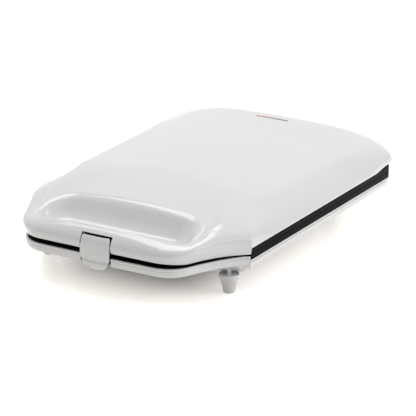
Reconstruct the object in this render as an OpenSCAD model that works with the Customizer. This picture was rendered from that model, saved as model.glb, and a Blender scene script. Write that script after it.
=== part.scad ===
// Sandwich toaster for four rounds of bread: white clam-shell casing with a handle nose, a black band
// between its halves, two cooking plates, a front latch and a rear hinge.
// Millimetres. +Z up, the handle nose points along -Y, the origin is on the table under the middle.

/* [Body] */
// Width over the black side band
body_w = 264; // [252:1:280]
// Length of the straight sides, from the shoulder behind the nose to the back of the base
body_l = 301; // [295:1:320]
// Length of the handle nose in front of the sides
nose_l = 78.5; // [72:0.5:90]
// Height of the crown of the lid above the table
top_h = 89; // [86:0.5:100]
// Height of the base rim at the nose
rim_h = 42; // [40:0.5:46]
// Height of the flat underside of the base
belly_h = 20; // [18:0.5:21]
// Height of the black band on each side
band_h = 13.2; // [12:0.2:15]
// Wall of the white shells
shell_t = 2.5; // [2:0.1:3]

/* [Lid] */
// How far the lid stands out past the band on each side
lid_out = 1; // [0.4:0.1:2]
// How far the lid overhangs the back of the base
lid_back = 13.5; // [12:0.5:18]
// Fall of the crown from the middle to 105 mm off it
crown_fall = 6; // [3:0.5:7]
// Run of the sloping side wall, from skirt to shoulder
side_run = 20; // [16:0.5:24]
// Rise of the sloping side wall
side_rise = 28; // [24:0.5:30]
// Run of the rear wall
rear_run = 12; // [9:0.5:14]
// Rise of the rear wall
rear_rise = 32; // [28:0.5:34]
// Run of the front face of the handle bar
bar_run = 13; // [11:0.5:14]
// Rise of the front face of the handle bar
bar_rise = 19.5; // [18:0.5:22]
// Radius of the arched crease behind the handle
arch_r = 105; // [100:1:115]
// Fall of the nose in front of the arch, per millimetre
nose_fall = 0.13; // [0.1:0.01:0.15]
// Radius of the plan corners at the back of the lid
lid_corner_r = 16; // [12:1:20]

/* [Nose] */
// Half width of the straight front edge
front_half = 66; // [60:1:70]
// Radius of the nose corners
nose_r = 34; // [30:1:36]
// Angle at which the nose side leaves its corner
nose_turn = 68; // [64:1:72]
// How far the middle of the front and back edges stands out past their ends
bow = 0.6; // [0.3:0.1:1.5]

/* [Finger well] */
// Half width of the finger well at its rim
well_half = 92; // [86:1:94]
// Thickness of the handle bar in front of the well, at its ridge
bar_w = 13; // [12:0.5:16]
// Back edge of the well behind the start of the sides, as a setback in front of it
well_back = 2; // [0:0.5:6]
// Height of the floor of the well above the table
well_floor_h = 51.5; // [51:0.5:54]
// Corner radius of the well next to the bar
well_front_r = 21; // [16:1:22]
// Corner radius at the back of the well
well_rear_r = 28; // [20:1:29]
// Width of the flat rim round the well, at the top of the bar
rim_w = 0.8; // [0.6:0.1:1.2]

/* [Plates] */
// From the outside of the band to the plates, on each side
plate_side = 10; // [9:0.5:14]
// From the front of the band to the plates
plate_set = 13; // [11:0.5:16]
// From the plates to the back of the band
plate_back = 18; // [17:0.5:24]
// Flat rim of a plate outside its pockets, on each side
rim_x = 4; // [3:0.5:8]
// Flat rim of a plate in front of and behind its pockets
rim_y = 9; // [6:0.5:12]
// Land between the left and the right pockets
gap_x = 12; // [10:0.5:16]
// Land between the front and the back pockets
gap_y = 20; // [18:0.5:26]
// Depth of the pockets
pocket_d = 9.5; // [8:0.5:10]
// Wall of the plates
plate_t = 2.2; // [1.8:0.1:2.6]
// Width of the sealing ridge between the two triangles of a pair
ridge_w = 7; // [5:0.5:9]
// Gap between the two plates and frames when the lid is down
part_gap = 0.4; // [0.3:0.1:0.8]

/* [Heating] */
// Diameter of the tubular heating elements
heater_d = 6.5; // [6:0.1:7]
// From the sides of the plates to the ends of the heating elements
heater_in = 26; // [20:1:30]
// Sheet of the reflector trays
tray_t = 0.8; // [0.6:0.1:1]

/* [Latch] */
// Width of the latch
latch_w = 34.6; // [30:0.2:40]
// Height of the top edge of the latch above the table
latch_top_h = 61.8; // [61:0.2:63]
// Thickness of the latch
latch_t = 2.6; // [2.2:0.1:3]
// Diameter of the latch pin
latch_pin_d = 3; // [2.6:0.1:3.2]

/* [Hinge] */
// Diameter of the hinge pins
hinge_pin_d = 4; // [3.6:0.1:4.4]
// Distance of each hinge from the middle
hinge_x = 76; // [66:1:90]
// Width of each hinge knuckle
knuckle_w = 8; // [7:0.5:10]

/* [Feet] */
// From the sides of the band to the middle of the front feet
front_foot_in = 24; // [23:0.5:30]
// From the sides of the band to the middle of the rear feet
rear_foot_in = 57; // [50:1:70]
// Diameter of the collar at the top of a foot
foot_collar_d = 23; // [20:0.5:24]
// Diameter of a foot at the table
foot_tip_d = 12.5; // [11:0.5:14]

/* [Indicators] */
// Length of each indicator lens
lens_l = 19.6; // [16:0.2:22]
// Width of the indicator lenses
lens_w = 2.4; // [2:0.1:3]
// Distance of the indicators from the back of the base
lens_set = 29; // [26:0.5:32]

/* [Clearances] */
// Radial clearance of a pin in a part that turns on it
run_fit = 0.05; // [0.03:0.01:0.08]
// Radial clearance of a pin in the part that holds it
pin_fit = 0.02; // [0.01:0.01:0.03]
// Clearance between parts that slide past or into each other
slip = 0.3; // [0.2:0.05:0.4]

/* [Hidden] */
$fn = 48;
eps = 0.01;

total_l = nose_l + body_l + lid_back;
y_front = -total_l / 2;
y_body = y_front + nose_l;
y_back = y_body + body_l;
y_lid_back = y_back + lid_back;
half_w = body_w / 2;
lid_half = half_w + lid_out;
front_foot_x = half_w - front_foot_in;
rear_foot_x = half_w - rear_foot_in;

// Plates and pockets, which fill the band to their margins
plate_w = body_w - 2 * plate_side;
plate_l = body_l - plate_set - plate_back;
pocket_w = (plate_w - gap_x) / 2 - rim_x;
pocket_l = (plate_l - gap_y) / 2 - rim_y;
pocket_out = [gap_x / 2 + pocket_w, gap_y / 2 + pocket_l];

parting_h = rim_h + 2.6;
band_lo = parting_h - band_h / 2;
band_hi = parting_h + band_h / 2;
frame_top_lo = parting_h - part_gap / 2;
frame_bot_hi = parting_h + part_gap / 2;

// Names of all the pieces

// ---------- outlines ----------

function arc_pts(c, r, a0, a1, n) = [for (i = [0:n]) let (a = a0 + (a1 - a0) * i / n) c + r * [cos(a), sin(a)]];
function line_pts(a, b, n) = [for (i = [1:n]) a + (b - a) * i / n];
function smooth(a, b, x) = let (t = max(0, min(1, (x - a) / (b - a)))) t * t * (3 - 2 * t);
function soft_min(a, b, k) = let (h = max(k - abs(a - b), 0) / k) min(a, b) - h * h * k / 4;

// The side of the nose: one arc from point a, leaving at angle turn, to point b
function flare(a, b, turn, n) =
    let (chord = norm(b - a), dir = atan2(b.y - a.y, b.x - a.x), half = turn - dir)
    abs(half) < 0.2 ? line_pts(a, b, n)
    : let (r = chord / 2 / sin(half), c = a + r * [sin(turn), -cos(turn)])
      [for (i = [1:n])
          let (u = i == n ? 1 : last_share * i / (n - 1), t = turn + 90 - 2 * half * u)
          c + r * [cos(t), sin(t)]];
// Share of the nose side that its last point but one has reached: the skirt steps up in what is left
last_share = 0.96;

// An edge from the middle at y to x = w, standing out by the bow in its middle: its points but the last
function bowed(w, y, out) = [for (u = [0, 1 / 3, 2 / 3]) [w * u, y + out * u * u]];
function rest_of(arc) = [for (i = [1:len(arc) - 1]) arc[i]];
function backwards(a) = [for (i = [len(a) - 1:-1:0]) a[i]];

// Right half of a casing outline, from the front middle round to the back middle
function half_outline(hw, yf, ys, yb, fh, nr, br) =
    let (corner = arc_pts([fh, yf + bow + nr], nr, -90, nose_turn - 90, 6), side_end = yb - bow - br)
    concat(bowed(fh, yf, bow), corner,
           flare(corner[6], [hw, ys], nose_turn, 6),
           line_pts([hw, ys], [hw, side_end], 6),
           rest_of(arc_pts([hw - br, side_end], br, 0, 90, 6)),
           backwards(bowed(hw - br, yb, -bow)));

function mirrored(h) = concat(h, [for (i = [len(h) - 2:-1:1]) [-h[i].x, h[i].y]]);

// Plan outline of the base, set in by d at the sides, f at the nose and b at the back
function base_outline(d, f, b) =
    mirrored(half_outline(half_w - d, y_front + f, y_body + d / 2, y_back - b, front_half, max(nose_r - f, 6),
                          8 + d / 2));

// Band outline behind the nose. Its front edge steps back behind the wall of the base
band_r = 8;
band_nip = shell_t + slip;
module band_shape(d) {
    x = half_w - d;
    r = max(band_r - d, 1);
    polygon(concat([[-x, y_body + d], [-x + band_nip, y_body + d + band_nip / 2],
                    [x - band_nip, y_body + d + band_nip / 2], [x, y_body + d]],
                   arc_pts([x - r, y_back - d - r], r, 0, 90, 6), arc_pts([-x + r, y_back - d - r], r, 90, 180, 6)));
}

// Nose outline behind the shell wall, set in by d, back to the band
module nose_shape(d) {
    h = half_outline(half_w - d, y_front + d, y_body + d, y_back, front_half, nose_r - d, band_r);
    nose = [for (p = h) if (p.y <= y_body + d + eps) p];
    polygon(concat(nose, [for (i = [len(nose) - 1:-1:1]) [-nose[i].x, nose[i].y]]));
}

// ---------- lid surface ----------

arch_y = y_body - 34;
ref_half = 105;

// Height of the crown and the nose slope in front of the arch
function crown_z(x, y) =
    let (rho = arch_y + sqrt(max(arch_r * arch_r - x * x, 400)) - y,
         fall = nose_fall * (rho + sqrt(rho * rho + 196)) / 2,
         side = 6.5 * pow(x / 85, 2) * max(0, min(1, (y_body + 20 - y) / 85)),
         roll = pow(max(y - (y_back - 29), 0), 2) / 140)
    top_h - crown_fall * pow(x / ref_half, 2) - fall - side - roll;

// Upright lip at the bottom edge of the lid
lip_h = 1.2;
// Height over which the wall rounds into the crown, and the width behind it that the rounding takes
shoulder_k = 9;
shoulder_run = 14;
// How far the inside stops short of the outside under the ridge of the bar
bar_fill = 9;

// Height of the lid wall at ring q (0 at the skirt, 1 at the shoulder)
function wall_z(y, q) =
    let (lo = band_hi + lip_h, bulge = q * (1.4 - 0.4 * q), side = lo + (side_rise - lip_h) * bulge,
         bar = lo + (bar_rise - lip_h) * q, rear = lo + (rear_rise - lip_h) * bulge,
         w = smooth(y_body - 55, y_body, y), r = smooth(y_back - 31, y_back + 4, y))
    (bar * (1 - w) + side * w) * (1 - r) + rear * r;

// Lower edge of the lid: clear of the rim round the nose, on the band along the sides
function skirt_z(y) = y < y_body - eps ? rim_h + skirt_up - skirt_drop(y) : band_hi;
function skirt_drop(y) = 3.2 * smooth(y_body - 72, y_body - 42, y) + 0.8 * smooth(y_body - 42, y_body, y);
// Height of the gap under the lid at the front of the nose
skirt_up = 6;

function lid_outline(q, t) =
    let (s = min(q, 1.7))
    mirrored(half_outline(lid_half - side_run * q - t, y_front + bar_run * pow(q, 1.7) + t,
                          y_body + 22 * pow(min(q, 1), 1.5), y_lid_back - rear_run * q - t,
                          front_half + 3 * s - 6 * max(q - 1.2, 0), nose_r - 11 * s - t,
                          lid_corner_r + 7 * min(q, 1.2)));

// The finger well as a rounded rectangle: its middle, half length and the radius of the nearest corner
well_front = y_front + bar_w;
well_rear = y_body - well_back;
well_mid = (well_front + well_rear) / 2;
well_half_l = (well_rear - well_front) / 2;
function well_corner(y) = y < well_mid ? well_front_r : well_rear_r;
function well_past(p) =
    [abs(p.x) - well_half + well_corner(p.y), abs(p.y - well_mid) - well_half_l + well_corner(p.y)];

// Distance of a point from the rim of the well
function well_gap(p) =
    let (q = well_past(p)) norm([max(q.x, 0), max(q.y, 0)]) + min(max(q.x, q.y), 0) - well_corner(p.y);

// The point moved out to at least distance m from the rim of the well
function off_well(p, m) =
    let (q = well_past(p), r = well_corner(p.y), sx = p.x < 0 ? -1 : 1, sy = p.y < well_mid ? -1 : 1,
         c = [sx * (well_half - r), well_mid + sy * (well_half_l - r)])
    well_gap(p) >= m ? p
    : q.x > 0 && q.y > 0 ? c + [sx * q.x, sy * q.y] * (r + m) / norm(q)
    : q.y >= q.x ? [p.x, well_mid + sy * (well_half_l + m)] : [sx * (well_half + m), p.y];

// Lid outline at ring q that leaves the rim of the well, closing on it evenly as q grows
closing = 0.85;
function lid_loop(q, t) =
    let (foot = lid_outline(0, t), at_q = lid_outline(q, t), rim = t + rim_w)
    [for (i = [0:len(foot) - 1])
        off_well(at_q[i], rim + max(well_gap(foot[i]) - rim, 0) * (1 - q) * closing)];

// How solid the bar is inside: 1 along its front, 0 behind it
function bar_solid(y) = 1 - smooth(y_body - 50, y_body - 25, y);

function lid_ring(q, t) =
    [for (p = lid_loop(q, t))
        [p.x, p.y, soft_min(wall_z(p.y, q), crown_z(p.x, p.y), shoulder_k)
            - (t > 0 ? t * q + bar_fill * bar_solid(p.y) * q * q : 0)]];
function skirt_ring(t) = [for (p = lid_outline(0, t)) [p.x, p.y, skirt_z(p.y)]];

// Ring between the shoulder ring a and the rim of the well, s = 1 on the rim
function crown_ring(a, s, t) =
    let (rim = well_loop(-t, -t, -t))
    [for (i = [0:len(a) - 1])
        let (p = [a[i].x, a[i].y] * (1 - s) + rim[i] * s, far = norm(p - [a[i].x, a[i].y]),
             drop = crown_z(a[i].x, a[i].y) - t - a[i].z)
        [p.x, p.y, crown_z(p.x, p.y) - t - drop * pow(max(0, 1 - far / shoulder_run), 2)]];

// Ring of the well under its rim ring a
function well_ring(row, a, t) =
    let (loop = well_loop(row[0] - t, row[1] - t, row[2] - t), lo = well_floor_h - t)
    [for (i = [0:len(a) - 1]) [loop[i].x, loop[i].y, lo + (a[i].z - lo) * row[3]]];

// ---------- closed shapes from rings ----------

function ring_faces(n, rings) =
    [for (j = [0:rings - 2], i = [0:n - 1], k = [0, 1])
        let (a = j * n + i, b = j * n + (i + 1) % n, c = a + n, d = b + n) k == 0 ? [a, d, b] : [a, c, d]];
// Triangles across a ring that is the same left and right
function cap_faces(n, o, up) =
    [for (i = [0:n / 2 - 1], k = [0, 1])
        let (a = o + i, b = o + i + 1, c = o + (n - i) % n, d = o + n - i - 1,
             f = k == 0 ? (a == c ? [] : [a, b, c]) : (b == d ? [] : [c, b, d]))
        if (len(f) == 3) up ? [f[2], f[1], f[0]] : f];

// A solid from rings that run from the bottom to the top
module lofted(rings) {
    n = len(rings[0]);
    m = len(rings);
    polyhedron([for (r = rings) each r],
               concat(ring_faces(n, m), cap_faces(n, 0, false), cap_faces(n, (m - 1) * n, true)), convexity = 8);
}

// A thin shell: rings up the outside to the crown, then down the inside to the same edge
module shell_of(outer, inner) {
    n = len(outer[0]);
    all = concat(outer, [for (i = [len(inner) - 1:-1:0]) inner[i]]);
    m = len(outer);
    k = len(all);
    outside = ring_faces(n, m);
    inside = [for (f = ring_faces(n, k - m)) [for (v = f) v + m * n]];
    edge = [for (i = [0:n - 1], s = [0, 1])
        let (a = i, b = (i + 1) % n, c = (k - 1) * n + i, d = (k - 1) * n + (i + 1) % n)
        s == 0 ? [a, b, d] : [a, d, c]];
    polyhedron([for (r = all) each r],
               concat(outside, inside, edge, cap_faces(n, (m - 1) * n, true), cap_faces(n, m * n, false)),
               convexity = 8);
}

// ---------- lid ----------

// Finger well outline, set in by f at the bar, s at the ends and b at the back
function well_loop(f, s, b) =
    let (x = well_half - s, yf = well_front + f, yb = well_rear - b, rf = max(well_front_r - s, 5),
         rb = max(min(well_rear_r - s / 2, 0.6 * (yb - yf)), 8), end = yb - bow - rb)
    mirrored(concat(bowed(x - rf, yf, bow), arc_pts([x - rf, yf + bow + rf], rf, -90, 0, 6),
                    line_pts([x, yf + bow + rf], [x, end], 6), rest_of(arc_pts([x - rb, end], rb, 0, 90, 12)),
                    backwards(bowed(x - rb, yb, -bow))));

// Rings of the lid: shares of the wall, of the way over the crown, and rows down the well, each with its
// insets at bar, ends and back and its share of the height
lid_q = [0, 0.12, 0.28, 0.46, 0.66, 0.86, 1];
lid_s = [0.03, 0.1, 0.22, 0.4, 0.6, 0.8, 0.92, 1];
well_rows = [[0.4, 1, 1.5, 0.96], [1.2, 3, 4.5, 0.84], [2.2, 6, 9, 0.5], [3, 9, 14, 0.17], [4, 12, 18, 0.05],
             [6, 15, 22, 0]];
lid_q_in = [0, 0.3, 0.66, 0.95];
lid_s_in = [0.03, 0.06, 0.1, 0.4, 0.8, 1];
well_rows_in = [[1.2, 3, 4.5, 0.84], [2.2, 6, 9, 0.5], [3, 9, 14, 0.17], [6, 15, 22, 0]];

function lid_rings(shares, ways, rows, t) =
    let (shoulder = lid_ring(shares[len(shares) - 1], t), rim = crown_ring(shoulder, 1, t))
    concat([skirt_ring(t)], [for (q = shares) lid_ring(q, t)], [for (s = ways) crown_ring(shoulder, s, t)],
           [for (r = rows) well_ring(r, rim, t)]);

post_x = half_w - 6.2;
post_r = 3.2;
post_y = [y_body + 34, (y_body + y_back) / 2, y_back - 34];
screw_r = 1.5;
pilot_r = 1.35;
head_r = 2.7;
ring_t = 4.8;
post_foot = frame_bot_hi + ring_t;

module each_post() {
    for (x = [-post_x, post_x], y = post_y) translate([x, y, 0]) children();
}

notch_half = latch_w / 2 + 2 * slip;
notch_top = latch_top_h + 2.1;
lens_y = y_back - lens_set;
lens_top = crown_z(lens_l, lens_y) - slip / 2;
lens_seat = lens_top - shell_t - slip;

module lid_cover() {
    color("white") difference() {
        union() {
            shell_of(lid_rings(lid_q, lid_s, well_rows, 0), lid_rings(lid_q_in, lid_s_in, well_rows_in, shell_t));
            each_post() translate([0, 0, post_foot]) cylinder(r = post_r, h = 8);
        }
        translate([-notch_half, y_front - 5, rim_h]) cube([2 * notch_half, 5 + notch_d, notch_top - rim_h]);
        translate([-lens_l - slip / 2, lens_y - lens_w / 2 - slip / 2, lens_seat - 2])
            cube([2 * lens_l + slip, lens_w + slip, 8]);
        each_post() translate([0, 0, post_foot - eps]) cylinder(r = pilot_r, h = 6);
    }
}

// Plan of a plate, set out by d, with rounded corners
plate_y = y_body + plate_set + plate_l / 2;
module plate_shape(d, r = 8) {
    x = plate_w / 2 + d;
    y = plate_l / 2 + d;
    translate([0, plate_y]) polygon([for (c = [[1, 1, 0], [-1, 1, 90], [-1, -1, 180], [1, -1, 270]])
        each arc_pts([c.x * (x - r), c.y * (y - r)], r, c[2], c[2] + 90, 5)]);
}
module seat_opening() {
    x = pocket_out.x + slip;
    y = pocket_out.y + slip;
    translate([-x, plate_y - y]) square([2 * x, 2 * y]);
}

hinge_y = y_back + 6;
knuckle_r = 5;
module knuckle(x, lo, hi) {
    translate([x - knuckle_w / 2, hinge_y, parting_h]) rotate([0, 90, 0]) cylinder(r = knuckle_r, h = knuckle_w);
    translate([x - knuckle_w / 2, y_back - 2, lo]) cube([knuckle_w, hinge_y - y_back + 2, hi - lo]);
}
module hinge_bore(fit, half = hinge_x + 3 * knuckle_w) {
    translate([-half, hinge_y, parting_h]) rotate([0, 90, 0]) cylinder(r = hinge_pin_d / 2 + fit, h = 2 * half);
}

latch_set = 4.6;
latch_y = y_front + latch_set;
latch_z = latch_top_h - 4.6;
// Ears that hold the latch pin: radius of the eye, depth and half height of the web behind it, thickness
ear_r = 2.6;
ear_web = 5;
web_h = ear_r - 0.4;
ear_t = 3;
// Depth of the lid's notch behind the nose front: it takes the latch and the ears that carry it
notch_d = latch_set + ear_web + slip + 0.1;
ear_x = latch_w / 2 - 5;
eye_half = ear_x - ear_t - slip;
// Bracket of the ears: sheet, half width and top
bracket_t = 0.8;
bracket_half = notch_half - slip;
bracket_top = notch_top - slip;
web_back = latch_y + ear_web - bracket_t / 2;
// Decks across the nose: thickness, set-in from the outline, heights and the depth of the notch in them
deck_t = 2.2;
deck_in = shell_t + slip + 0.5;
deck_hi = skirt_z(y_front) - 2;
lower_deck_lo = rim_h - deck_t - 0.2;
notch_deck = 2.9;
notch_deck_y = y_front + notch_deck;

// Black ring round a plate: mirrored, it serves both halves. z runs from the parting plane outwards
module ring_frame() {
    difference() {
        union() {
            linear_extrude(ring_t) difference() {
                band_shape(0);
                plate_shape(slip);
            }
            translate([0, 0, plate_t]) linear_extrude(ring_t - plate_t) difference() {
                plate_shape(slip + 1);
                seat_opening();
            }
            linear_extrude(band_h / 2 - part_gap / 2) difference() {
                band_shape(0);
                band_shape(2.4);
            }
        }
        each_post() translate([0, 0, -1]) cylinder(r = screw_r + 0.15, h = ring_t + 2);
    }
}

module upper_frame() {
    color("#242424") difference() {
        union() {
            translate([0, 0, frame_bot_hi]) difference() {
                ring_frame();
                each_post() translate([0, 0, -1]) cylinder(r = head_r + 0.2, h = 1 + 2);
            }
            // deck that closes the nose of the lid from below
            translate([0, 0, deck_hi]) linear_extrude(deck_t) nose_shape(deck_in);
            translate([-half_w + 4, y_body + shell_t, frame_bot_hi + ring_t / 2])
                cube([body_w - 8, 3, ring_t / 2]);
            // bracket that lines the notch behind and above the latch and joins its ears
            translate([-bracket_half, latch_y + ear_web - bracket_t, deck_hi])
                cube([2 * bracket_half, bracket_t, bracket_top - deck_hi]);
            translate([-bracket_half, latch_y + 1.9, bracket_top - bracket_t])
                cube([2 * bracket_half, ear_web - 1.9, bracket_t]);
            for (s = [-1, 1]) {
                knuckle(s * hinge_x, frame_bot_hi, frame_bot_hi + ring_t);
                translate([s * ear_x - ear_t / 2, 0, 0]) {
                    translate([0, latch_y, latch_z]) rotate([0, 90, 0]) cylinder(r = ear_r, h = ear_t);
                    rotate([90, 0, 90]) linear_extrude(ear_t)
                        polygon([[latch_y, latch_z + web_h], [web_back, latch_z + web_h / 2],
                                 [web_back, deck_hi + 1], [latch_y + 1.5, deck_hi + 1],
                                 [latch_y + 1.5, latch_z - 5], [latch_y, latch_z - web_h]]);
                }
            }
        }
        hinge_bore(run_fit);
        translate([-latch_w, latch_y, latch_z]) rotate([0, 90, 0])
            cylinder(r = latch_pin_d / 2 + pin_fit, h = 2 * latch_w);
        translate([-notch_half, y_front, deck_hi - 1]) cube([2 * notch_half, notch_deck, deck_t + 2]);
    }
}

// ---------- plates and heating, built for the lower half with z = 0 at the cooking face, downwards ----------

boss_x = 60;
boss_r = 4.5;
cup_h = pocket_d + plate_t;
tube_z = -cup_h - heater_d / 2;
clip_t = 0.8;
tray_top = -cup_h - heater_d - clip_t - 0.1;
head_t = 1.4;

// One of the two triangles of a sandwich pocket, set in by d
module triangle(d) {
    w = pocket_w - 2 * d;
    l = pocket_l - 2 * d;
    cut = ridge_w / 2 + d * 0.6;
    far = [w - 2 * cut, l - 2 * cut];
    translate([d, d]) polygon([[0, blunt], [blunt, 0], [far.x - blunt, 0], [far.x, blunt],
                               [blunt, far.y], [0, far.y - blunt]]);
}
// How much the corners of a pocket are blunted
blunt = 3;
module each_triangle() {
    for (sx = [-1, 1], sy = [-1, 1]) translate([sx * (gap_x + pocket_w) / 2, sy * (gap_y + pocket_l) / 2])
        for (a = [0, 180]) rotate(a) translate([-pocket_w / 2, -pocket_l / 2]) children();
}
module cook_plate() {
    color("#2c2c2e") translate([0, plate_y, 0]) {
        translate([0, 0, -plate_t]) linear_extrude(plate_t) difference() {
            translate([0, -plate_y]) plate_shape(0);
            each_triangle() triangle(plate_t);
        }
        translate([0, 0, -cup_h]) linear_extrude(cup_h - plate_t + eps) each_triangle() difference() {
            triangle(0);
            triangle(plate_t);
        }
        translate([0, 0, -cup_h]) linear_extrude(plate_t) each_triangle() triangle(eps);
        for (x = [-boss_x, boss_x]) translate([x, 0, 0]) difference() {
            translate([0, 0, tray_top]) cylinder(r = boss_r, h = -tray_top - plate_t + eps);
            translate([0, 0, tray_top - 1]) cylinder(r = pilot_r, h = 9);
        }
    }
}

// U-shaped tubular element with its two cold pins
leg_y = (gap_y + pocket_l) / 2;
bend_x = plate_w / 2 - heater_in - leg_y;
leg_end = heater_in - plate_w / 2;
pin_l = 9;
pin_r = 1.6;
module heating_tube() {
    r = heater_d / 2;
    color("#6d6a66") translate([0, plate_y, tube_z]) {
        for (s = [-1, 1]) translate([leg_end, s * leg_y, 0]) rotate([0, 90, 0]) {
            cylinder(r = r, h = bend_x - leg_end);
            translate([0, 0, -pin_l]) cylinder(r = pin_r, h = pin_l + eps);
        }
        translate([bend_x, 0, 0]) rotate([0, 0, -90]) rotate_extrude(angle = 180)
            translate([leg_y, 0]) circle(r = r);
    }
}
clip_w = 10;
clip_wing = 6;
clip_x = [leg_end + 26, bend_x - 18];
module tube_clamps() {
    r = heater_d / 2;
    color("silver") translate([0, plate_y, tube_z]) for (x = clip_x, s = [-1, 1])
        translate([x - clip_w / 2, s * leg_y, 0]) difference() {
            union() {
                rotate([0, 90, 0]) cylinder(r = r + clip_t, h = clip_w);
                translate([0, -r - clip_wing, r - clip_t]) cube([clip_w, 2 * (r + clip_wing), clip_t]);
            }
            translate([-1, 0, 0]) rotate([0, 90, 0]) cylinder(r = r + pin_fit, h = clip_w + 2);
            translate([-1, -r - 1, r]) cube([clip_w + 2, 2 * r + 2, 3]);
        }
}

// Reflector tray: a shallow pan under the tube whose flange lies against the frame's plate seat
tray_slope = [10, 9.6];
tray_wall = pocket_out + [slip + tray_t, slip + tray_t];
tray_floor = tray_wall - tray_slope;
module pan(d, lo, shoulder, hi) {
    hull() for (v = [[tray_floor, lo], [tray_wall, shoulder]]) translate([0, 0, v[1]])
        cube([2 * (v[0].x - d), 2 * (v[0].y - d), eps], center = true);
    translate([-tray_wall.x + d, -tray_wall.y + d, shoulder])
        cube([2 * (tray_wall.x - d), 2 * (tray_wall.y - d), hi - shoulder]);
}
module reflector_tray() {
    lo = tray_top - tray_t;
    hi = -ring_t - 0.02;
    color("lightgray") translate([0, plate_y, 0]) difference() {
        union() {
            pan(0, lo, lo + 8, hi);
            translate([-plate_w / 2 + 1, -plate_l / 2 + 1, hi - tray_t]) cube([plate_w - 2, plate_l - 2, tray_t]);
        }
        pan(tray_t, lo + tray_t, lo + 8, hi + 1);
        for (x = [-boss_x, boss_x]) translate([x, 0, lo - 1]) cylinder(r = screw_r + 0.15, h = 3);
    }
}
module pan_screws() {
    color("silver") for (x = [-boss_x, boss_x]) translate([x, plate_y, tray_top - tray_t - eps]) {
        translate([0, 0, -head_t]) cylinder(r = head_r, h = head_t);
        cylinder(r = pilot_r, h = tray_t + 6);
    }
}
// Thermostat: a body against the back of the plate and two flat terminals on it
stat = [18, 12, 7];
stat_tab = [3, 6, 5];
stat_tab_x = 6;
module thermostat_block() {
    color("#d8d2c4") translate([-stat.x / 2, plate_y - stat.y / 2, -plate_t - stat.z]) cube(stat);
    color("silver") for (s = [-1, 1])
        translate([s * stat_tab_x - stat_tab.x / 2, plate_y - stat_tab.y / 2, -plate_t - stat.z - stat_tab.z])
            cube(stat_tab);
}

cook_lo = frame_top_lo;
cook_hi = frame_bot_hi;
module lower_half() { translate([0, 0, cook_lo]) children(); }
module upper_half() { translate([0, 0, cook_hi]) mirror([0, 0, 1]) children(); }

module lower_plate() { lower_half() cook_plate(); }
module upper_plate() { upper_half() cook_plate(); }
module lower_heater() { lower_half() heating_tube(); }
module upper_heater() { upper_half() heating_tube(); }
module lower_heater_clamps() { lower_half() tube_clamps(); }
module upper_heater_clamps() { upper_half() tube_clamps(); }
module lower_reflector() { lower_half() reflector_tray(); }
module upper_reflector() { upper_half() reflector_tray(); }
module lower_plate_screws() { lower_half() pan_screws(); }
module upper_plate_screws() { upper_half() pan_screws(); }
module lower_thermostat() { lower_half() thermostat_block(); }
module upper_thermostat() { upper_half() thermostat_block(); }
// Thermal fuse: a small can against the plate beside the thermostat, with a wire at each end
fuse_r = 2.5;
fuse_l = 16;
fuse_wire_r = 0.6;
fuse_wire_l = 5;
fuse_x = stat.x / 2 + 13;
module thermal_fuse() {
    lower_half() color("gainsboro") translate([fuse_x, plate_y, -plate_t - fuse_r]) rotate([0, 90, 0]) {
        cylinder(r = fuse_r, h = fuse_l);
        for (z = [-fuse_wire_l, fuse_l]) translate([0, 0, z]) cylinder(r = fuse_wire_r, h = fuse_wire_l);
    }
}

// ---------- base ----------

// Set-ins at sides, nose and back, drop below the rim, of the outside and the inside of the base
base_rows = [[0, 0, 0, 0], [0, 0, 0, 1.6], [0.8, 0.4, 0.8, 2], [0.8, 0.4, 0.8, 2.7], [0.3, 0.3, 0.3, 3.1],
             [0.9, 1, 0.9, 8.2], [2.4, 4, 2.4, 9.6]];
base_rows_in = [[0, 0, 0, 0], [0.9, 1, 0.9, 7]];
function rim_z(y) = y < y_body - eps ? rim_h : band_lo;
function base_ring(r, t) = [for (p = base_outline(r[0] + t, r[1] + t, r[2] + t)) [p.x, p.y, rim_z(p.y) - r[3]]];
function flat_ring(s, f, b, z) = [for (p = base_outline(s, f, b)) [p.x, p.y, z]];
function base_out() =
    concat([for (r = base_rows) base_ring(r, 0)],
           [flat_ring(9, 20, 9, belly_h + 4), flat_ring(16, 38, 16, belly_h)]);
function base_in() =
    concat([for (r = base_rows_in) base_ring(r, shell_t)],
           [flat_ring(9 + shell_t, 20 + shell_t, 9 + shell_t, belly_h + 4 + shell_t),
            flat_ring(17 + shell_t, 39 + shell_t, 17 + shell_t, belly_h + shell_t)]);
function upside(rings) = [for (i = [len(rings) - 1:-1:0]) rings[i]];

base_post_lo = belly_h + 14.5;
base_post_hi = frame_top_lo - ring_t;
gland_x = 0;
gland_z = band_lo - 4.6;
gland_r = 3.6;

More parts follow.
